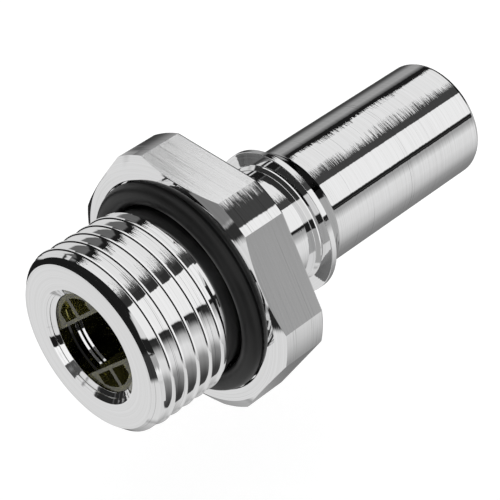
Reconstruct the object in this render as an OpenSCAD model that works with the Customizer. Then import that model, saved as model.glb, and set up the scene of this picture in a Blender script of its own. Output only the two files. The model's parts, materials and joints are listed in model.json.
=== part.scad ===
// Valved quick-disconnect coupling insert, lying along +X.
// The threaded end points to -X and the smooth spigot points to +X.
// The origin is on the axis, at the inner end of the external thread.

/* [Threaded end] */
// Major diameter of the external pipe thread, 3/8 inch parallel
thread_d = 16.662; // [15.5:0.001:18]
// Length from the flat end face to the last full thread
thread_len = 7.6; // [6.4:0.1:9]
// Axial length of the lead-in on the thread
lead_len = 0.78; // [0.4:0.02:1]
// Distance from the last full thread to the front face of the hexagon
undercut_len = 2.54; // [2.2:0.02:3.2]
// Diameter of the undercut that carries the O-ring
undercut_d = 15.4; // [15:0.05:15.6]

/* [Port O-ring] */
// Inner diameter of the O-ring that seals on the port
port_ring_inner_d = 15.6; // [15.6:0.05:15.9]
// Section of that O-ring
port_ring_section = 1.9; // [1.7:0.02:2.1]
// How far the O-ring stands proud of the hexagon's face
port_ring_proud = 1.1; // [0.7:0.02:1.3]
// Gap between the O-ring and the wall of its recess
recess_gap = 0.1; // [0.06:0.01:0.3]

/* [Hexagon] */
// Size across the flats, for a 22 mm spanner
hex_af = 22; // [21.6:0.1:24]
// Diameter of the turned corners
hex_corner_d = 23.7; // [23.2:0.1:25]
// Width of the hexagon along the axis
hex_w = 4.72; // [3.6:0.02:6]

/* [Neck and collar] */
// Diameter of the neck behind the hexagon
neck_d = 10.6; // [10.4:0.05:10.9]
// Length from the hexagon to the front of the collar
neck_len = 6.57; // [5.6:0.01:8]
// Diameter of the collar that the socket's latch plate catches
collar_d = 13.54; // [12.6:0.02:14.4]
// Width of the collar's rim
collar_w = 0.55; // [0.4:0.01:1]
// Length of the cone from the collar down to the spigot
cone_len = 1.54; // [1.2:0.02:2.4]

/* [Spigot] */
// Diameter of the smooth spigot
spigot_d = 11.16; // [11.1:0.02:11.5]
// Length of the spigot from the cone to its tip
spigot_len = 18.73; // [17.6:0.01:22]

/* [Bore] */
// Diameter of the bore at the mouth of its lead-in
mouth_d = 10.5; // [10.3:0.02:11.2]
// Diameter of the first bore, that holds the valve cage
cage_bore_d = 9.1; // [9:0.02:9.3]
// Diameter of the main bore
bore_d = 8.44; // [8.3:0.02:8.5]
// Diameter of the opening in the valve seat
seat_d = 6; // [5.8:0.02:6.3]
// Length of the seat's opening, with its flare, at the spigot's tip
seat_len = 2.61; // [2.2:0.01:3]

/* [Valve] */
// Diameter of the stem of the poppet
stem_d = 2.5; // [2.2:0.05:2.8]
// How far the stem reaches beyond the guide hub
stem_tail = 2.7; // [2:0.1:4]
// Length of the hub that guides the stem
hub_len = 3; // [2:0.1:4]
// Diameter of the flange of the poppet
flange_d = 6.9; // [6.6:0.05:7.1]
// Section of the small O-ring on the poppet
seal_section = 1.3; // [1.2:0.02:1.4]
// Length of the free stretch that the spring fills
spring_len = 14.7; // [13:0.1:16]
// Gap between the stem and the spring round it
spring_gap = 0.45; // [0.3:0.05:0.6]
// Wire diameter of the spring
wire_d = 0.5; // [0.4:0.02:0.6]
// Number of open coils of the spring
coils = 7; // [5:1:9]

/* [Hidden] */
$fn = 96;

// Stations along the axis, counted from the flat threaded end
s_hex = thread_len + undercut_len;
s_hex_end = s_hex + hex_w;
s_collar = s_hex_end + neck_len;
s_rim_end = s_collar + collar_w;
s_spigot = s_rim_end + cone_len;
s_tip = s_spigot + spigot_len;
// Port O-ring and its recess
ring_r = port_ring_section / 2;
ring_mid = port_ring_inner_d / 2 + ring_r;
s_ring = s_hex - port_ring_proud + ring_r;
s_recess = s_ring + ring_r + 0.03;
// Main radii
r_thread = thread_d / 2;
r_face = r_thread - lead_len;
r_undercut = undercut_d / 2;
r_recess = ring_mid + ring_r + recess_gap;
r_hex = hex_corner_d / 2;
r_hex_in = hex_af / 2 - 0.05;
r_neck = neck_d / 2;
r_collar = collar_d / 2;
r_spigot = spigot_d / 2;
r_mouth = mouth_d / 2;
r_cage_bore = cage_bore_d / 2;
r_bore = bore_d / 2;
r_seat = seat_d / 2;
// The step inside the bore, in two small cones
step_r = (r_cage_bore - r_bore) / 2;
s_step = 2.26;
s_step_end = s_step + 2 * step_r + 0.23;
// Valve cage: segments at the mouth, rails along the bore, a guide hub at the far end
cage_gap = 0.05;
s_cage = 0.75;
s_feet = s_step - 0.03;
r_feet = r_cage_bore - cage_gap;
r_rail = r_bore - cage_gap;
rail_t = 0.85;
chord_feet = 2.15;
chord_rail = 2;
rim_t = 0.32;
pocket_depth = 1.15;
snap_s = 1.15;
snap_w = 0.5;
snap_h = 0.13;
// Direction of the slot between the two segments, about the axis
cage_turn = 44;
// Valve seat, small O-ring and poppet, counted back from the spigot's tip
s_seat_out = s_tip - 0.33;
s_seat_in = s_tip - seat_len;
s_cone_in = s_seat_in - (r_bore - r_seat);
seal_r = seal_section / 2;
seal_mid = r_seat + 0.05;
// The O-ring just meets the seat cone, which runs at 45 degrees
s_seal = s_seat_in + r_seat - seal_mid - (seal_r + 0.03) * sqrt(2);
groove_half = seal_r + 0.03;
r_groove = seal_mid - seal_r - 0.05;
r_nose = r_seat - 0.25;
r_stem = stem_d / 2;
r_flange = flange_d / 2;
s_nose = s_tip - 0.18;
s_flange = s_seal - groove_half - 2.5;
s_hub_end = s_flange - spring_len;
r_hub = 2.6;
s_stem = s_hub_end - hub_len - stem_tail;
guide_gap = 0.05;
// Spring
wire_r = wire_d / 2;
spring_r = r_stem + spring_gap + wire_r;
ring_sides = 8;
steps = 20;
end_rise = wire_d + 0.03;
turns = coils + 2;
free_rise = (spring_len - 2 * wire_r - 0.04 - 2 * end_rise) / coils;

// Turns a shape built along +Z from the threaded end into its place along +X
module along_x() {
  translate([-thread_len, 0, 0]) rotate([0, 90, 0]) children();
}

// A turned solid from a list of [station, radius] points
module turned(pts) {
  rotate_extrude() polygon([for (p = pts) [p[1], p[0]]]);
}

function hex_points() = [
  [s_hex, 0],
  [s_hex, r_hex_in],
  [s_hex + (r_hex - r_hex_in) * tan(30), r_hex],
  [s_hex_end, r_hex],
  [s_hex_end, 0]
];

function outer_points() = [
  [0, 0],
  [0, r_face],
  [lead_len, r_thread],
  [thread_len, r_thread],
  [thread_len + 0.35, r_undercut],
  [s_hex + 2, r_undercut],
  [s_hex + 2, r_neck],
  [s_collar - 0.5, r_neck],
  [s_collar - 0.15, r_neck + 0.35],
  [s_collar - 0.13, r_neck + 0.38],
  [s_collar, r_neck + 0.38],
  [s_collar, r_collar - 0.05],
  [s_collar + 0.05, r_collar],
  [s_rim_end - 0.04, r_collar],
  [s_rim_end, r_collar - 0.04],
  [s_spigot, r_spigot],
  [s_tip - 0.3, r_spigot],
  [s_tip - 0.09, r_spigot - 0.09],
  [s_tip, r_spigot - 0.3],
  [s_tip, 0]
];

function bore_points() = [
  [-1, 0],
  [-1, r_mouth],
  [0, r_mouth],
  [0.3, r_mouth - 0.35],
  [0.36, r_mouth - 0.35],
  [0.36 + r_mouth - 0.35 - r_cage_bore, r_cage_bore],
  [snap_s, r_cage_bore],
  [snap_s, r_cage_bore + snap_h],
  [snap_s + snap_w, r_cage_bore + snap_h],
  [snap_s + snap_w, r_cage_bore],
  [s_step, r_cage_bore],
  [s_step + step_r, r_cage_bore - step_r],
  [s_step_end - step_r, r_cage_bore - step_r],
  [s_step_end, r_bore],
  [s_cone_in, r_bore],
  [s_seat_in, r_seat],
  [s_seat_out, r_seat],
  [s_tip, r_seat + 0.33],
  [s_tip + 1, r_seat + 0.33],
  [s_tip + 1, 0]
];

// One turned and milled piece: thread stub, hexagon, neck, collar, spigot and bore
module insert_body() {
  color([0.8, 0.81, 0.83]) along_x() {
    difference() {
      union() {
        turned(outer_points());
        intersection() {
          turned(hex_points());
          rotate([0, 0, 30]) cylinder(r = hex_af / 2 / cos(30), h = s_tip, $fn = 6);
        }
      }
      turned(bore_points());
      translate([0, 0, s_hex - 1]) difference() {
        cylinder(r = r_recess, h = s_recess - s_hex + 1);
        translate([0, 0, -1]) cylinder(r = r_undercut, h = 2 * (s_recess - s_hex + 1));
      }
    }
  }
}

// O-ring in the recess of the hexagon's front face
module port_o_ring() {
  color([0.07, 0.07, 0.075]) along_x() {
    translate([0, 0, s_ring]) rotate_extrude() translate([ring_mid, 0]) circle(r = ring_r, $fn = 48);
  }
}

// The two circle segments beyond a chord, as a flat outline
module segments(r, chord) {
  difference() {
    circle(r = r);
    square([4 * r, 2 * chord], center = true);
  }
}

// Open web of each segment: the part taken out on one side of the middle rib
module web_pocket() {
  intersection() {
    circle(r = r_feet - rim_t - 0.1);
    translate([0.25, chord_feet + rim_t]) square([2.05, r_feet]);
  }
}

// Valve cage: two webbed feet at the mouth, two rails, and a guide hub
module valve_cage() {
  color([0.72, 0.56, 0.2]) along_x() rotate([0, 0, cage_turn]) difference() {
    union() {
      translate([0, 0, s_cage]) linear_extrude(s_feet - s_cage) segments(r_feet, chord_feet);
      translate([0, 0, snap_s + 0.05]) linear_extrude(snap_w - 0.1) segments(r_feet + snap_h, chord_feet);
      translate([0, 0, s_cage + pocket_depth]) linear_extrude(s_hub_end - s_cage - pocket_depth) difference() {
        segments(r_rail, chord_rail);
        circle(r = r_rail - rail_t);
      }
      translate([0, 0, s_hub_end - hub_len]) {
        cylinder(r = r_hub, h = hub_len);
        linear_extrude(hub_len) intersection() {
          circle(r = r_rail);
          square([2.4, 4 * r_rail], center = true);
        }
      }
    }
    for (side = [0, 180]) {
      for (flip = [0, 1]) {
        rotate([0, 0, side]) mirror([flip, 0, 0]) {
          translate([0, 0, s_cage - 1]) linear_extrude(pocket_depth + 1) web_pocket();
        }
      }
    }
    translate([0, 0, s_hub_end - hub_len - 1]) cylinder(r = r_stem + guide_gap, h = hub_len + 2);
  }
}

// Poppet: stem, flange, O-ring groove and nose
module valve_poppet() {
  color([0.76, 0.62, 0.26]) along_x() turned([
    [s_stem, 0],
    [s_stem, r_stem - 0.3],
    [s_stem + 0.3, r_stem],
    [s_flange, r_stem],
    [s_flange, r_flange - 0.15],
    [s_flange + 0.15, r_flange],
    [s_seal - groove_half - 0.1, r_flange],
    [s_seal - groove_half, r_flange - 0.1],
    [s_seal - groove_half, r_groove],
    [s_seal + groove_half, r_groove],
    [s_seal + groove_half, r_nose],
    [s_nose - 0.25, r_nose],
    [s_nose, r_nose - 0.25],
    [s_nose, 0]
  ]);
}

// Small O-ring in the poppet's groove
module poppet_seal() {
  color([0.08, 0.08, 0.08]) along_x() {
    translate([0, 0, s_seal]) rotate_extrude() translate([seal_mid, 0]) circle(r = seal_r, $fn = 36);
  }
}

// Height of the spring's wire after t turns, with one close coil at each end
function rise(t) =
  t < 1 ? t * end_rise :
  t < turns - 1 ? end_rise + (t - 1) * free_rise :
  end_rise + (turns - 2) * free_rise + (t - turns + 1) * end_rise;

// One ring of points round the wire, at step i of n
function wire_ring(i) = [
  for (k = [0:ring_sides - 1])
    let (t = i / steps, a = 360 * t, b = 360 * k / ring_sides, q = spring_r + wire_r * cos(b))
    [q * cos(a), q * sin(a), rise(t) + wire_r * sin(b)]
];

// Compression spring between the hub and the poppet's flange
module valve_spring() {
  n = turns * steps;
  pts = [for (i = [0:n]) each wire_ring(i)];
  sides = [
    for (i = [0:n - 1], k = [0:ring_sides - 1])
      let (a = i * ring_sides + k, b = i * ring_sides + (k + 1) % ring_sides)
      [a, b, b + ring_sides, a + ring_sides]
  ];
  first = [for (k = [0:ring_sides - 1]) ring_sides - 1 - k];
  last = [for (k = [0:ring_sides - 1]) n * ring_sides + k];
  color([0.7, 0.71, 0.72]) along_x() {
    translate([0, 0, s_hub_end + wire_r + 0.02]) polyhedron(points = pts, faces = concat(sides, [first, last]));
  }
}

insert_body();
port_o_ring();
valve_cage();
valve_poppet();
poppet_seal();
valve_spring();
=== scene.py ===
import json
import math

import bmesh
import bpy
from mathutils import Matrix, Vector


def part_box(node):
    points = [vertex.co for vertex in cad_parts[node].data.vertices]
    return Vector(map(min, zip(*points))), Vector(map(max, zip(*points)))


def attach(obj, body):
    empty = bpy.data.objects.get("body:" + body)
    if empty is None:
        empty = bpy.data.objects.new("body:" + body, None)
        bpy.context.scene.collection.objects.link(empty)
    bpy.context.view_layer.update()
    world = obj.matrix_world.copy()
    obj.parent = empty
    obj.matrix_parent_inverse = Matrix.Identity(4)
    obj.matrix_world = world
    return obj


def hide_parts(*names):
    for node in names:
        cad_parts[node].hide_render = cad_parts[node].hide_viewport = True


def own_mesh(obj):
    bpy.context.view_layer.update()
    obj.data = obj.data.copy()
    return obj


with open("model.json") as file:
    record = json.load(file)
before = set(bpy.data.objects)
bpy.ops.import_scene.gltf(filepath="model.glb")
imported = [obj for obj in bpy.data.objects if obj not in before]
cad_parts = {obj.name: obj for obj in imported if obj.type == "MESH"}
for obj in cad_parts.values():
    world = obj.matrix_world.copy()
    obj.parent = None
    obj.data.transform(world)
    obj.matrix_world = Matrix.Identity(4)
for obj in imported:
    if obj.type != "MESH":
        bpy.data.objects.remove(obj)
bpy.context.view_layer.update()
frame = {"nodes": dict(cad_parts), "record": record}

MM = 0.001

# Sizes from the frame, in millimetres
mounts = {m["name"]: m for m in frame["record"]["mounts"]}
body_low, body_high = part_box("insert_body")
spring_low, spring_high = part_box("valve_spring")
ring_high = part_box("port_o_ring")[1]
face_x = body_low.x / MM
tip_x = body_high.x / MM
thread_r = mounts["port_thread"]["dims"]["r_mm"]
spigot_r = mounts["spigot"]["dims"]["r_mm"]
hex_face_x = mounts["sealing_face"]["pos_m"][0] / MM
flat_half = mounts["spanner_flat"]["pos_m"][2] / MM

# Thread
pitch = 1.337
lead_len = 0.78
root_r = 8.15
thread_end_x = 0.35
undercut_r = 7.7
# Hexagon
hex_w = 4.72
hex_corner_r = 11.85
hex_front_r = flat_half - 0.05
hex_back_x = hex_face_x + hex_w
hex_chamfer_deg = 30
recess_r = ring_high.y / MM + 0.1
recess_floor_x = ring_high.x / MM + 0.03
# Neck, with the foot that leads up to the collar
neck_len = 6.57
neck_r = 5.3
back_ring_r = neck_r + 1.5
foot_len = 0.42
foot_steep_len = 0.1
foot_rise = 0.25
foot_height = 0.285
foot_fillet = 0.08
# Collar, the cone behind it, and the spigot's tip
collar_x = hex_back_x + neck_len
collar_w = 0.55
collar_r = 6.77
cone_len = 1.54
cone_fillet = 0.5
spigot_x = collar_x + collar_w + cone_len
tip_round = 0.3
tip_bulge_len = 0.05
tip_bulge_drop = 0.12
tip_fillet = 0.25
tip_end_fillet = 0.1
# Mouth and bore. Depths are counted from the end face, and cone_run is a small cone's length for its height
mouth_r = 5.25
land_step = 0.35
land_len = 0.06
land_fillet = 0.03
cage_bore_r = 4.55
snap_depth = 1.15
snap_w = 0.5
snap_h = 0.13
step_depth = 2.26
step_land = 0.23
bore_r = 4.22
step_r = (cage_bore_r - bore_r) / 2
cone_run = 0.82
# Valve seat, counted from the tip
seat_r = 3.0
seat_len = 2.61
seat_flare_len = 0.33
seat_flare_r = seat_r + 0.36
seat_flare_fillet = 0.05
seat_support = 0.5
seat_fillet = 0.1
seat_cone_fillet = 0.2
# Broken edges and small fillets
edge = 0.06
lead_edge = 0.05
undercut_edge = 0.1
recess_edge = 0.08
collar_edge = 0.05
fine_edge = 0.02
least_edge = 0.01
# Edge of the mouth: depth from the end face, and distance out from the mouth's radius
MOUTH_EDGE = ((0.03, -0.01), (0.005, 0.02))
# Back edge of the hexagon: distance in from the back face, and depth below the flat
back_edge_len = 0.12
BACK_EDGE = ((0.118, 0.0), (0.02, 0.028), (0.018, 0.03), (0, 0.06))

# Angular columns of the body: they fall on every crease of the hexagon
FLAT_STEPS = 44
CORNER_STEPS = 16
# Rows over its front chamfer and along its sides, as shares of the way
CHAMFER_ROWS = (0.02, 0.5, 1)
SIDE_ROWS = (0.01, 0.34, 0.67, 0.99, 1)
# Creases sharper than these angles stay sharp
BODY_CREASE = 14
SPRING_CREASE = 40
# Points closer than this are merged, and edges shorter than half of it are dissolved
MERGE = 0.0002

# Thread form: share of the pitch, and share of the height above the root, which rises gently to each ridge
THREAD_FORM = [
    (0, 0), (0.28, 0), (0.56, 0), (0.61, 0.015), (0.66, 0.05), (0.70, 0.09), (0.74, 0.14), (0.77, 0.18),
    (0.80, 0.24), (0.834, 0.51), (0.868, 0.78), (0.91, 0.90), (0.953, 1), (0.958, 0.01), (1, 0)]
THREAD_PHASE = -0.12


def hexagon_columns():
    """Angles from +Y towards +Z, close over each flat and each turned corner."""
    half = math.acos(flat_half / hex_corner_r)
    angles = []
    for side in range(6):
        middle = math.radians(30 + 60 * side)
        for k in range(FLAT_STEPS):
            angles.append(middle + half * (2 * k / FLAT_STEPS - 1))
        for k in range(CORNER_STEPS):
            angles.append(middle + half + (math.radians(60) - 2 * half) * k / CORNER_STEPS)
    return angles


COLUMNS = hexagon_columns()


def hexagon_r(angle):
    """Outer radius of the hexagon with its turned corners."""
    from_flat = angle % math.radians(60) - math.radians(30)
    return min(hex_corner_r, flat_half / math.cos(from_flat))


def flat_slot(column):
    """Material slot of the hexagon's sides: 1 over a flat, 0 over a corner."""
    return int(column % (FLAT_STEPS + CORNER_STEPS) < FLAT_STEPS)


# A fillet takes at most this share of a run, in steps of at most this angle
FILLET_LIMIT = 0.45
FILLET_STEP = math.radians(11)


def filleted(points):
    """A polyline of (x, r) whose corners have the fillet radius given as a third value."""
    out = []
    for i, point in enumerate(points):
        if len(point) < 3 or i in (0, len(points) - 1):
            out.append(point[:2])
            continue
        here = Vector(point[:2])
        fillet = point[2]
        before = Vector(points[i - 1][:2]) - here
        after = Vector(points[i + 1][:2]) - here
        turn = before.angle(after)
        cut = min(fillet / math.tan(turn / 2), before.length * FILLET_LIMIT, after.length * FILLET_LIMIT)
        size = cut * math.tan(turn / 2)
        centre = here + (before.normalized() + after.normalized()).normalized() * size / math.sin(turn / 2)
        start = here + before.normalized() * cut - centre
        sweep = start.angle_signed(here + after.normalized() * cut - centre)
        steps = max(2, math.ceil(abs(sweep) / FILLET_STEP))
        for k in range(steps + 1):
            a = -sweep * k / steps
            spoke_x = start.x * math.cos(a) - start.y * math.sin(a)
            spoke_r = start.x * math.sin(a) + start.y * math.cos(a)
            out.append((centre.x + spoke_x, centre.y + spoke_r))
    return out


# Runs much longer than this distance get a support point that far from each end
SUPPORT = 0.03


def supported(points):
    """The polyline with a point close to both ends of each long run, so that its shading stays straight."""
    out = [points[0]]
    for (x0, r0), (x1, r1) in zip(points, points[1:]):
        share = SUPPORT / math.hypot(x1 - x0, r1 - r0)
        if share < 0.15:
            out += [(x0 + (x1 - x0) * k, r0 + (r1 - r0) * k) for k in (share, 1 - share)]
        out.append((x1, r1))
    return out


def turned_point(x, r, angle):
    """A point from x, its distance from the axis and its angle from +Y towards +Z: millimetres to metres."""
    return x * MM, r * math.cos(angle) * MM, r * math.sin(angle) * MM


def smooth_mesh(name, verts, faces, crease_deg, slots=()):
    """A closed mesh with its normals outward, smooth up to its creases."""
    mesh = bpy.data.meshes.new(name)
    mesh.from_pydata(verts, [], faces)
    for polygon, slot in zip(mesh.polygons, slots):
        polygon.material_index = slot
    work = bmesh.new()
    work.from_mesh(mesh)
    bmesh.ops.remove_doubles(work, verts=work.verts, dist=MERGE * MM)
    bmesh.ops.dissolve_degenerate(work, edges=work.edges, dist=MERGE / 2 * MM)
    bmesh.ops.recalc_face_normals(work, faces=work.faces)
    work.to_mesh(mesh)
    work.free()
    mesh.shade_smooth()
    mesh.set_sharp_from_angle(angle=math.radians(crease_deg))
    return mesh


class Turned:
    """Vertices and faces of a surface made of closed rings, one vertex for each column."""

    def __init__(self):
        self.verts = []
        self.faces = []
        self.slots = []
        self.last = None

    def ring(self, place, slot_of=None):
        """Adds a ring; place gives (x, r) for a column's angle, in millimetres."""
        first = len(self.verts)
        for angle in COLUMNS:
            x, r = place(angle)
            self.verts.append(turned_point(x, r, angle))
        now = list(range(first, len(self.verts)))
        if self.last:
            self.join(self.last, now, slot_of)
        self.last = now

    def join(self, low, high, slot_of=None):
        """Faces between two rings; slot_of gives a column's material slot."""
        count = len(COLUMNS)
        for i in range(count):
            k = (i + 1) % count
            self.faces.append((low[i], low[k], high[k], high[i]))
            self.slots.append(slot_of(i) if slot_of else 0)

    def profile(self, points):
        for x, r in supported(filleted(points)):
            self.ring(lambda angle: (x, r))

    def helix(self, start_x, end_x, radius):
        """Rows that follow the thread's helix, held between two plane rings."""
        count = len(COLUMNS)
        shares = [share for share, height in THREAD_FORM[:-1]]
        per_turn = len(shares)
        turns = math.ceil((end_x - start_x) / pitch)
        rows = []
        for whole in range(-1, turns + 2):
            for share in shares:
                row = []
                for angle in COLUMNS:
                    turn = (angle - COLUMNS[0]) / (2 * math.pi)
                    x = start_x + pitch * (whole + share + THREAD_PHASE + turn)
                    x = min(max(x, start_x), end_x)
                    row.append(len(self.verts))
                    self.verts.append(turned_point(x, radius(x, share), angle))
                rows.append(row)
        for j in range(len(rows) - 1):
            for i in range(count - 1):
                self.faces.append((rows[j][i], rows[j][i + 1], rows[j + 1][i + 1], rows[j + 1][i]))
                self.slots.append(0)
            if j + 1 + per_turn < len(rows):
                low, high = rows[j + per_turn][0], rows[j + 1 + per_turn][0]
                self.faces.append((rows[j][-1], low, high, rows[j + 1][-1]))
                self.slots.append(0)
        if self.last:
            self.join(self.last, rows[0])
        self.last = rows[-1]

    def close(self):
        """Joins the last ring to the first one."""
        self.join(self.last, list(range(len(COLUMNS))))


def add_piece(name, mesh, body, replaced):
    """A piece that rides on a body and stands in for a CAD node."""
    piece = bpy.data.objects.new(name, mesh)
    bpy.context.scene.collection.objects.link(piece)
    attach(piece, body)
    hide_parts(replaced)
    return piece


def thread_radius(x, share):
    """Radius of the thread's surface, cut by its lead-in and its run-out."""
    for (s0, h0), (s1, h1) in zip(THREAD_FORM, THREAD_FORM[1:]):
        if share <= s1:
            height = h0 + (h1 - h0) * (share - s0) / (s1 - s0)
            break
    r = root_r + (thread_r - root_r) * height
    lead = thread_r - lead_len + (x - face_x)
    run_out = undercut_r + (thread_r - undercut_r) * (thread_end_x - x) / thread_end_x
    return min(r, lead, run_out)


def make_body():
    body = Turned()
    # End face, from the mouth's edge out to the thread
    body.profile([(face_x, mouth_r + edge), (face_x, thread_r - lead_len - lead_edge)])
    body.helix(face_x, thread_end_x, thread_radius)
    # Undercut, recess of the O-ring and front face
    body.profile([
        (thread_end_x + fine_edge, undercut_r), (recess_floor_x - undercut_edge, undercut_r),
        (recess_floor_x, undercut_r + undercut_edge), (recess_floor_x, recess_r - recess_edge),
        (recess_floor_x - recess_edge, recess_r), (hex_face_x + edge, recess_r),
        (hex_face_x, recess_r + edge), (hex_face_x, hex_front_r)])
    # Hexagon: front chamfer, flats and turned corners, flat back
    slope = math.tan(math.radians(hex_chamfer_deg))
    for share in CHAMFER_ROWS:
        body.ring(lambda angle: (
            hex_face_x + (hexagon_r(angle) - hex_front_r) * share * slope,
            hex_front_r + (hexagon_r(angle) - hex_front_r) * share))
    side_w = hex_w - back_edge_len
    for share in SIDE_ROWS:
        body.ring(lambda angle: (
            hex_face_x + (hexagon_r(angle) - hex_front_r) * slope * (1 - share) + side_w * share,
            hexagon_r(angle)), flat_slot)
    for inset, drop in BACK_EDGE:
        body.ring(lambda angle: (hex_back_x - inset, hexagon_r(angle) - drop))
    # Neck, collar, spigot and tip
    body.profile([
        (hex_back_x, back_ring_r), (hex_back_x, neck_r + fine_edge), (hex_back_x + fine_edge, neck_r),
        (collar_x - foot_len, neck_r, foot_fillet),
        (collar_x - foot_steep_len, neck_r + foot_rise, fine_edge),
        (collar_x, neck_r + foot_height, fine_edge), (collar_x, collar_r, collar_edge),
        (collar_x + collar_w, collar_r, collar_edge), (spigot_x, spigot_r, cone_fillet),
        (tip_x - tip_round, spigot_r, tip_fillet),
        (tip_x - tip_bulge_len, spigot_r - tip_bulge_drop, tip_end_fillet),
        (tip_x, spigot_r - tip_round, tip_end_fillet), (tip_x, seat_flare_r, seat_flare_fillet),
        (tip_x - seat_flare_len, seat_r, seat_flare_fillet)])
    # Valve seat, main bore, step and cage bore, with the groove of the snap rim, back to the mouth
    seat_in = tip_x - seat_len
    step_x = face_x + step_depth
    step_run = step_r * cone_run
    snap_x = face_x + snap_depth
    land_r = mouth_r - land_step
    land_x = face_x + fine_edge + land_step * cone_run
    land_in_x = land_x + land_len
    body.profile([
        (tip_x - seat_support, seat_r), (seat_in, seat_r, seat_fillet),
        (seat_in - (bore_r - seat_r), bore_r, seat_cone_fillet),
        (step_x + 2 * step_run + step_land, bore_r, fine_edge),
        (step_x + step_run + step_land, bore_r + step_r, least_edge),
        (step_x + step_run, bore_r + step_r, least_edge), (step_x, cage_bore_r, fine_edge),
        (snap_x + snap_w + snap_h, cage_bore_r), (snap_x + snap_w, cage_bore_r + snap_h),
        (snap_x, cage_bore_r + snap_h), (snap_x, cage_bore_r),
        (land_in_x + (land_r - cage_bore_r) * cone_run, cage_bore_r, land_fillet),
        (land_in_x, land_r, least_edge), (land_x, land_r, least_edge),
        *[(face_x + depth, mouth_r + out) for depth, out in MOUTH_EDGE]])
    body.close()
    mesh = smooth_mesh("plated_body", body.verts, body.faces, BODY_CREASE, body.slots)
    return add_piece("plated_body", mesh, "insert", "insert_body")


# Spring. Its end turns lie close
wire_r = 0.25
spring_turns = 9
close_gap = 0.03
WIRE_SIDES = 16
STEPS_PER_TURN = 48


def make_spring():
    low, high = spring_low.x / MM, spring_high.x / MM
    coil_r = spring_high.y / MM - wire_r
    close_rise = 2 * wire_r + close_gap
    open_rise = (high - low - 2 * wire_r - 2 * close_rise) / (spring_turns - 2)
    verts = []
    faces = []
    last = None
    for i in range(spring_turns * STEPS_PER_TURN + 1):
        turn = i / STEPS_PER_TURN
        rise = close_rise * min(turn, 1) + open_rise * min(max(turn - 1, 0), spring_turns - 2)
        rise += close_rise * max(turn - spring_turns + 1, 0)
        now = list(range(len(verts), len(verts) + WIRE_SIDES))
        for k in range(WIRE_SIDES):
            round_wire = 2 * math.pi * k / WIRE_SIDES
            x = low + wire_r + rise + wire_r * math.sin(round_wire)
            r = coil_r + wire_r * math.cos(round_wire)
            verts.append(turned_point(x, r, 2 * math.pi * turn))
        if last:
            for k in range(WIRE_SIDES):
                beside = (k + 1) % WIRE_SIDES
                faces.append((last[k], last[beside], now[beside], now[k]))
        else:
            faces.append(tuple(reversed(now)))
        last = now
    faces.append(tuple(last))
    mesh = smooth_mesh("coil_spring", verts, faces, SPRING_CREASE)
    spring = add_piece("coil_spring", mesh, "insert", "valve_spring")
    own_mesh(spring)
    return spring


# Shader expressions

class Value:
    """One output socket of a node tree. Operators on it add Math nodes."""

    def __init__(self, tree, socket):
        self.tree = tree
        self.socket = socket

    def __add__(self, other):
        return self.tree.maths("ADD", self, other)

    def __radd__(self, other):
        return self.tree.maths("ADD", other, self)

    def __sub__(self, other):
        return self.tree.maths("SUBTRACT", self, other)

    def __rsub__(self, other):
        return self.tree.maths("SUBTRACT", other, self)

    def __mul__(self, other):
        return self.tree.maths("MULTIPLY", self, other)

    def __rmul__(self, other):
        return self.tree.maths("MULTIPLY", other, self)

    def __truediv__(self, other):
        return self.tree.maths("DIVIDE", self, other)


class Tree:
    """A node tree, with one method that adds any node."""

    def __init__(self, owner):
        owner.use_nodes = True
        self.nodes = owner.node_tree.nodes
        self.links = owner.node_tree.links
        self.nodes.clear()

    def node(self, kind, settings=None, inputs=None):
        made = self.nodes.new(kind)
        for key, value in (settings or {}).items():
            if key == "stops":
                self.set_stops(made.color_ramp, value)
            else:
                setattr(made, key, value)
        for key, value in (inputs or {}).items():
            if isinstance(value, Value):
                self.links.new(value.socket, made.inputs[key])
            else:
                made.inputs[key].default_value = value
        return made

    def out(self, kind, output=0, settings=None, inputs=None):
        return Value(self, self.node(kind, settings, inputs).outputs[output])

    def set_stops(self, ramp, stops):
        while len(ramp.elements) < len(stops):
            ramp.elements.new(1)
        for element, (at, grey) in zip(ramp.elements, stops):
            element.position = at
            element.color = (grey, grey, grey, 1)

    def maths(self, operation, *values):
        return self.out("ShaderNodeMath", 0, {"operation": operation}, dict(enumerate(values)))

    def vector(self, operation, *values, output=0):
        return self.out("ShaderNodeVectorMath", output, {"operation": operation}, dict(enumerate(values)))

    def scaled(self, vector, factor):
        return self.out("ShaderNodeVectorMath", 0, {"operation": "SCALE"}, {0: vector, "Scale": factor})

    def dot(self, a, b):
        return self.vector("DOT_PRODUCT", a, b, output="Value")

    def joined(self, x, y, z):
        return self.out("ShaderNodeCombineXYZ", 0, None, {0: x, 1: y, 2: z})

    def parts(self, vector):
        split = self.node("ShaderNodeSeparateXYZ", None, {0: vector})
        return [Value(self, o) for o in split.outputs]

    def ramp(self, value, low, high, to_low=0.0, to_high=1.0):
        """Smooth step from to_low at low to to_high at high."""
        sockets = {"Value": value, "From Min": low, "From Max": high, "To Min": to_low, "To Max": to_high}
        settings = {"interpolation_type": "SMOOTHSTEP", "clamp": True}
        return self.out("ShaderNodeMapRange", 0, settings, sockets)

    def noise(self, vector, scale, detail=2.0, roughness=0.5):
        sockets = {"Vector": vector, "Scale": scale, "Detail": detail, "Roughness": roughness}
        return self.out("ShaderNodeTexNoise", 0, None, sockets)

    def colour(self, factor, a, b):
        """Mix of two colours."""
        return self.out("ShaderNodeMix", 2, {"data_type": "RGBA"}, {0: factor, 6: a, 7: b})

    def bump(self, height, strength, distance):
        sockets = {"Height": height, "Strength": strength, "Distance": distance}
        return self.out("ShaderNodeBump", 0, None, sockets)

    def shader(self, kind, inputs):
        return self.out(kind, 0, None, inputs)

    def output(self, kind, shader):
        self.node(kind, None, {"Surface": shader})


def grey(value):
    return (value, value, value, 1)


def material(name):
    made = bpy.data.materials.new(name)
    return made, Tree(made)


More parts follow.
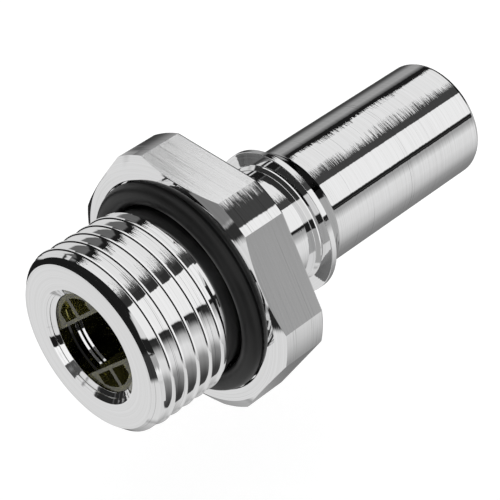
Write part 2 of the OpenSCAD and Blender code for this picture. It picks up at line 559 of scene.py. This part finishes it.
def coordinates(tree):
    """Object position, its three parts and the distance from the axis, in millimetres."""
    position = tree.scaled(tree.out("ShaderNodeTexCoord", "Object"), 1 / MM)
    x, y, z = tree.parts(position)
    radius = tree.vector("LENGTH", tree.joined(0.0, y, z), output="Value")
    return position, x, y, z, radius


def plated_metal(name, marks, tone, roughness, streak, turned):
    """Bright plating with fine tool marks: rings round the axis where turned, strokes across the flats."""
    made, tree = material(name)
    position, x, y, z, radius = coordinates(tree)
    across = radius * 7 if turned else y * 0.035 + z * 0.025
    ring_place = tree.joined(x * 7 + y * 0.06, across + z * 0.06, x * 1.3)
    fine = tree.noise(ring_place, 1.0, 3.0, 0.6)
    broad = tree.noise(tree.joined(x * 1.4, across * 0.2, y * 0.05), 1.0, 1.0)
    normal = tree.out("ShaderNodeNewGeometry", "Normal")
    side = tree.vector("NORMALIZE", tree.vector("CROSS_PRODUCT", (1.0, 0.0, 0.0), position))
    swing = (fine - 0.5) * (2.0 * marks) + (broad - 0.5) * (0.6 * marks)
    groove = tree.noise(tree.joined(x * 9 + y * 0.03, across * 1.3, 7.0 + z * 0.03), 1.0, 2.0, 0.6)
    tilted = tree.vector("ADD", normal, tree.scaled(side, swing))
    tilted = tree.vector("ADD", tilted, tree.joined((groove - 0.5) * (5.0 * marks), 0.0, 0.0))
    # Hairline scratches of the tool, in groups
    hair = tree.ramp(tree.noise(tree.joined(x * 11, across * 1.5, 5.0), 1.0, 2.0), 0.60, 0.68)
    group = tree.ramp(tree.noise(tree.joined(x * 0.7, across * 0.1, 2.0), 1.0, 1.0), 0.42, 0.62)
    arc = tree.ramp(tree.noise(tree.joined(x * 11, y * 0.16, z * 0.16), 1.0, 1.0), 0.35, 0.6)
    shade = tree.colour(tree.ramp(fine, 0.3, 0.7), grey(tone * (1 - streak)), (tone, tone, tone * 1.005, 1))
    shade = tree.colour(hair * group * arc * 0.75, shade, grey(tone * 0.25))
    surface = tree.shader("ShaderNodeBsdfPrincipled", {
        "Base Color": shade,
        "Metallic": 1.0,
        "Roughness": tree.ramp(fine, 0.2, 0.8, roughness * 0.8, roughness * 1.25),
        "Normal": tree.vector("NORMALIZE", tilted)})
    tree.output("ShaderNodeOutputMaterial", surface)
    return made


def rubber(name):
    """Satin black rubber with a faint mould grain."""
    made, tree = material(name)
    position = coordinates(tree)[0]
    grain = tree.noise(position, 9.0, 3.0)
    cloud = tree.noise(position, 0.5, 2.0)
    surface = tree.shader("ShaderNodeBsdfPrincipled", {
        "Base Color": tree.colour(cloud, grey(0.006), grey(0.012)),
        "Roughness": tree.ramp(cloud, 0.2, 0.8, 0.34, 0.44),
        "Specular IOR Level": 0.3,
        "Normal": tree.bump(grain, 0.12, 0.02 * MM)})
    tree.output("ShaderNodeOutputMaterial", surface)
    return made


def amber_plastic(name):
    """Clear amber moulded plastic with slight flow marks."""
    made, tree = material(name)
    x, y, z = coordinates(tree)[1:4]
    flow = tree.noise(tree.joined(x * 0.35, y, z), 1.1, 3.0)
    surface = tree.shader("ShaderNodeBsdfPrincipled", {
        "Base Color": tree.colour(flow, (0.24, 0.22, 0.06, 1), (0.42, 0.40, 0.15, 1)),
        "Roughness": tree.ramp(flow, 0.2, 0.8, 0.05, 0.13),
        "IOR": 1.53,
        "Transmission Weight": 0.92,
        "Normal": tree.bump(flow, 0.2, 0.05 * MM)})
    tree.output("ShaderNodeOutputMaterial", surface)
    return made


def spring_wire(name):
    """Drawn stainless wire with lines along it."""
    made, tree = material(name)
    x, y, z, radius = coordinates(tree)[1:]
    drawn = tree.noise(tree.joined(x * 6, radius * 12, y * 0.3), 1.0, 2.0)
    surface = tree.shader("ShaderNodeBsdfPrincipled", {
        "Base Color": tree.colour(drawn, grey(0.5), grey(0.62)),
        "Metallic": 1.0,
        "Roughness": tree.ramp(drawn, 0.2, 0.8, 0.2, 0.32),
        "Normal": tree.bump(drawn, 0.15, 0.02 * MM)})
    tree.output("ShaderNodeOutputMaterial", surface)
    return made


def paint(node, made):
    """Gives a carried-over CAD node its material."""
    obj = frame["nodes"][node]
    obj.data.materials.clear()
    obj.data.materials.append(made)
    for polygon in obj.data.polygons:
        polygon.material_index = 0


# Studio. Directions are given round the axis: azimuth 0 faces the camera, and grows down the right side
CAMERA_PLACE = Vector((-75.43, -86.47, 103.79)) * MM
CAMERA_FORWARD = Vector((0.5358, 0.5369, -0.6517)).normalized()
CAMERA_RIGHT = Vector((0.7016, -0.7125, -0.0101))
CAMERA_LENS = 135.83
AXIS = Vector((1, 0, 0))
FACING = Vector((0, -0.6401, 0.7683))
ASIDE = AXIS.cross(FACING)


def make_camera():
    data = bpy.data.cameras.new("camera")
    data.lens = CAMERA_LENS
    data.sensor_width = 36
    data.clip_start, data.clip_end = 0.001, 10
    camera = bpy.data.objects.new("camera", data)
    bpy.context.scene.collection.objects.link(camera)
    back = -CAMERA_FORWARD
    right = (CAMERA_RIGHT - back * CAMERA_RIGHT.dot(back)).normalized()
    up = back.cross(right)
    camera.matrix_world = Matrix.Translation(CAMERA_PLACE) @ Matrix((right, up, back)).transposed().to_4x4()
    bpy.context.scene.camera = camera


# What the metal reflects from behind, as brightness at azimuths all the way round
AROUND = [
    (-180, 0.17), (-165, 0.08), (-152, 0.05), (-143, 0.10), (-128, 0.33), (-113, 0.36), (-105, 0.16),
    (-99, 0.01), (-97, 0.82), (-12.6, 0.82), (-11.4, 0.90), (31.2, 0.90), (32.4, 0.012), (37.4, 0.012),
    (38.2, 0.355), (45, 0.37), (60, 0.78), (80, 0.74), (100, 0.58), (118, 0.33), (135, 0.24), (150, 0.22),
    (180, 0.17)]
# Nearer to the axis than this polar angle, the spigot's end shows nothing but dark
BEHIND_FROM = 42
BEHIND_SOFT = 2
DARK = 0.012
# Dark bands with spiked edges: azimuth from and to, brightness, the spikes' reach at each edge, and a seed
FRINGED = [(-101, -92, DARK, 0.0, 17.0, 41.0), (-25, -12, 0.055, 28.0, 0.0, 3.0)]
SPIKES_PER_DEGREE = 1.6
FROM_SOFT, TO_SOFT = 1.5, 0.6
# Patches over it: azimuth from and to, its softness, polar angle from and to, softness, brightness
PATCHES = [
    # Sides of the thread
    (-23, -13, 3, 59.3, 98, 1.6, 0.03),
    (-131, -101, 6, 59.3, 98, 1.6, 0.13),
    (80, 198, 20, 59.3, 98, 1.6, 0.32),
    (100, 198, 50, 59.3, 98, 1.6, 0.045),
    (33, 44, 10, 59.3, 98, 1.6, 0.03),
    # Dark line on the spigot, and the cone behind the collar
    (37.2, 40.2, 0.8, 30, 55.6, 1, 0.012),
    (16, 176, 6, 6, 41, 3, 0.42),
    # In front: pale all over, with a white line on the thread's ridges
    (-181, 181, 1, 98, 181, 8, 0.73),
    (-100, 70, 10, 88, 112, 6, 0.97),
    # Front chamfer of the hexagon
    (100, 116, 4, 143, 154, 3, 0.02),
    (-125, -80, 5, 151, 171, 4, 0.21),
    (-122, -106, 4, 136, 152, 3, 0.03),
    (-130, -4, 6, 171, 177, 2, 0.03),
]
# Beyond this polar angle, by azimuth, the sides of the thread are pale
PALE_FROM = [
    (-180, 59.3), (-140, 59.3), (-126, 63), (-104, 76), (-99, 100), (76, 100), (84, 85), (108, 75),
    (128, 66), (140, 59.3), (180, 59.3)]
PALE = 0.70
PALE_SOFT = 0.8
# It ends between these polar angles
PALE_END_FROM, PALE_END_TO = 94, 100
# On the underside, between these azimuths, the pale falls to grey
PALE_BELOW = 0.32
BELOW_FROM, BELOW_TO = 128, 172
# Angle between the view and the axis, and turns round the axis at which the sweep of a cone is worked out
VIEW_ANGLE = 62.7
CONE_TURNS = (0, 20, 30, 40, 50, 60, 75, 90, 110, 118)
# Patches beside that sweep: azimuth from and to, its softness, distance from and to, softness, brightness
BESIDE_SWEEP = [
    # Lead-in of the thread
    (-190, 64, 6, -9, 5.5, 2, 0.012),
    (58, 92, 8, -9, 5.5, 2, 0.04),
    # Mouth and steps of the bore
    (-138, -107, 8, 8.5, 14.2, 1.4, 0.02),
    (-144, -136, 3, 6, 11.6, 1.0, 0.02),
    (-151, -143, 3, 5, 10.0, 0.8, 0.02),
    (-177, -149, 3, 1, 8.6, 0.8, 0.02),
    (-10, 61, 2, 6.5, 15.5, 1.5, 1.0),
    (-61, -10, 3, 6.5, 15.5, 1.5, 0.08),
    (61, 84, 3, 5.5, 17, 1.5, 0.012),
    # Foot of the collar
    (-112, -12, 3, -36, -8.5, 3, 0.03),
    (31, 50, 4, -36, -8.5, 3, 0.015),
    (50, 112, 4, -36, -8.5, 3, 0.38),
]
# Brightness of the studio for rays that no polished metal sends
PLAIN = 0.95


def band(tree, value, low, high, soft):
    """1 between low and high, with soft ends."""
    away = tree.maths("ABSOLUTE", value - (low + high) / 2)
    half = (high - low) / 2
    return tree.ramp(away, half - soft / 2, half + soft / 2, 1.0, 0.0)


def graph(tree, azimuth, points, scale):
    """The value at an azimuth, in straight lines between the points of a table. No value is over scale."""
    stops = [((a + 180) / 360, value / scale) for a, value in points]
    return tree.out("ShaderNodeValToRGB", 0, {"stops": stops}, {0: (azimuth + 180.0) / 360.0}) * scale


def cone_sweep():
    """Polar angle, by azimuth, of what a 45 degree cone of the front shows."""
    view = math.radians(VIEW_ANGLE)
    ray = Vector((math.cos(view), -math.sin(view), 0))
    points = []
    for degrees in [-turn for turn in reversed(CONE_TURNS)] + list(CONE_TURNS[1:]):
        turn = math.radians(degrees)
        shown = ray.reflect(Vector((-1, math.cos(turn), math.sin(turn))).normalized())
        points.append((math.degrees(math.atan2(shown.z, shown.y)), math.degrees(math.acos(shown.x))))
    return points


def with_fringes(tree, level, azimuth, polar):
    """The brightness with the dark bands laid over it, their edges broken into spikes."""
    for a0, a1, bright, low_reach, high_reach, seed in FRINGED:
        spikes = tree.noise(tree.joined(polar * SPIKES_PER_DEGREE, seed, 0.0), 1.0, 2.0, 0.5)
        spikes = tree.maths("POWER", tree.ramp(spikes, 0.32, 0.72), 1.5)
        mask = tree.ramp(azimuth + spikes * low_reach, a0 - FROM_SOFT, a0 + FROM_SOFT)
        mask = mask * tree.ramp(azimuth - spikes * high_reach, a1 - TO_SOFT, a1 + TO_SOFT, 1.0, 0.0)
        level = level + mask * (bright - level)
    return level


def with_patches(tree, level, azimuth, where, rows):
    """The brightness with the patches laid over it; where is the angle that their second pair bounds."""
    for a0, a1, a_soft, p0, p1, p_soft, bright in rows:
        turned = tree.maths("WRAP", azimuth - (a0 + a1) / 2, 180.0, -180.0)
        mask = band(tree, turned, (a0 - a1) / 2, (a1 - a0) / 2, a_soft)
        mask = mask * band(tree, where, p0, p1, p_soft)
        level = level + mask * (bright - level)
    return level


def make_world():
    world = bpy.data.worlds.new("studio")
    bpy.context.scene.world = world
    tree = Tree(world)
    looking = tree.out("ShaderNodeTexCoord", "Generated")
    along = tree.dot(looking, tuple(AXIS))
    polar = tree.maths("ARCCOSINE", along) * math.degrees(1)
    aside, facing = tree.dot(looking, tuple(ASIDE)), tree.dot(looking, tuple(FACING))
    azimuth = tree.maths("ARCTAN2", aside, facing) * math.degrees(1)
    level = with_fringes(tree, graph(tree, azimuth, AROUND, 1.0), azimuth, polar)
    level = tree.ramp(polar, BEHIND_FROM - BEHIND_SOFT, BEHIND_FROM + BEHIND_SOFT, DARK, 1.0) * level
    level = with_patches(tree, level, azimuth, polar, PATCHES)
    pale = tree.ramp(polar - graph(tree, azimuth, PALE_FROM, 180.0), -PALE_SOFT, PALE_SOFT)
    pale = pale * tree.ramp(polar, PALE_END_FROM, PALE_END_TO, 1.0, 0.0)
    level = level + pale * (tree.ramp(azimuth, BELOW_FROM, BELOW_TO, PALE, PALE_BELOW) - level)
    beside = polar - graph(tree, azimuth, cone_sweep(), 180.0)
    level = with_patches(tree, level, azimuth, beside, BESIDE_SWEEP)
    rays = tree.node("ShaderNodeLightPath")
    seen = Value(tree, rays.outputs["Is Camera Ray"])
    glossy = Value(tree, rays.outputs["Is Glossy Ray"])
    strength = PLAIN + glossy * (level - PLAIN)
    strength = strength + seen * (1.0 - strength)
    background = tree.shader("ShaderNodeBackground", {"Color": grey(1), "Strength": strength})
    tree.output("ShaderNodeOutputWorld", background)


MIDDLE_X = 0.013
FLOOR_Z = -0.03


def make_floor():
    bpy.ops.mesh.primitive_plane_add(size=1.2, location=(MIDDLE_X, 0, FLOOR_Z))
    floor = bpy.context.object
    floor.name = "floor"
    made, tree = material("floor_paper")
    rays = tree.node("ShaderNodeLightPath")
    paper = tree.shader("ShaderNodeBsdfDiffuse", {"Color": grey(0.86)})
    glow = tree.shader("ShaderNodeEmission", {"Color": grey(1), "Strength": 0.26})
    seen = tree.shader("ShaderNodeAddShader", {0: paper, 1: glow})
    camera_ray = Value(tree, rays.outputs["Is Camera Ray"])
    mixed = tree.shader("ShaderNodeMixShader", {0: camera_ray, 1: paper, 2: seen})
    tree.output("ShaderNodeOutputMaterial", mixed)
    floor.data.materials.append(made)
    floor.visible_glossy = False


def make_light():
    data = bpy.data.lights.new("soft_box", "AREA")
    data.size = 0.4
    data.energy = 0.12
    light = bpy.data.objects.new("soft_box", data)
    light.location = (-0.05, -0.15, 0.4)
    aim = Vector((MIDDLE_X, 0, 0)) - light.location
    light.rotation_euler = aim.to_track_quat("-Z", "Y").to_euler()
    light.visible_glossy = False
    bpy.context.scene.collection.objects.link(light)


make_camera()
make_world()
make_floor()
make_light()
plated_body = make_body()
coil_spring = make_spring()
plated_body.data.materials.append(plated_metal("turned_plating", 0.010, 0.93, 0.02, 0.06, True))
plated_body.data.materials.append(plated_metal("milled_plating", 0.008, 0.93, 0.08, 0.05, False))
coil_spring.data.materials.append(spring_wire("drawn_wire"))
black = rubber("black_rubber")
amber = amber_plastic("clear_amber")
paint("port_o_ring", black)
paint("poppet_seal", black)
paint("valve_cage", amber)
paint("valve_poppet", amber)
bpy.context.scene.view_settings.view_transform = "Standard"
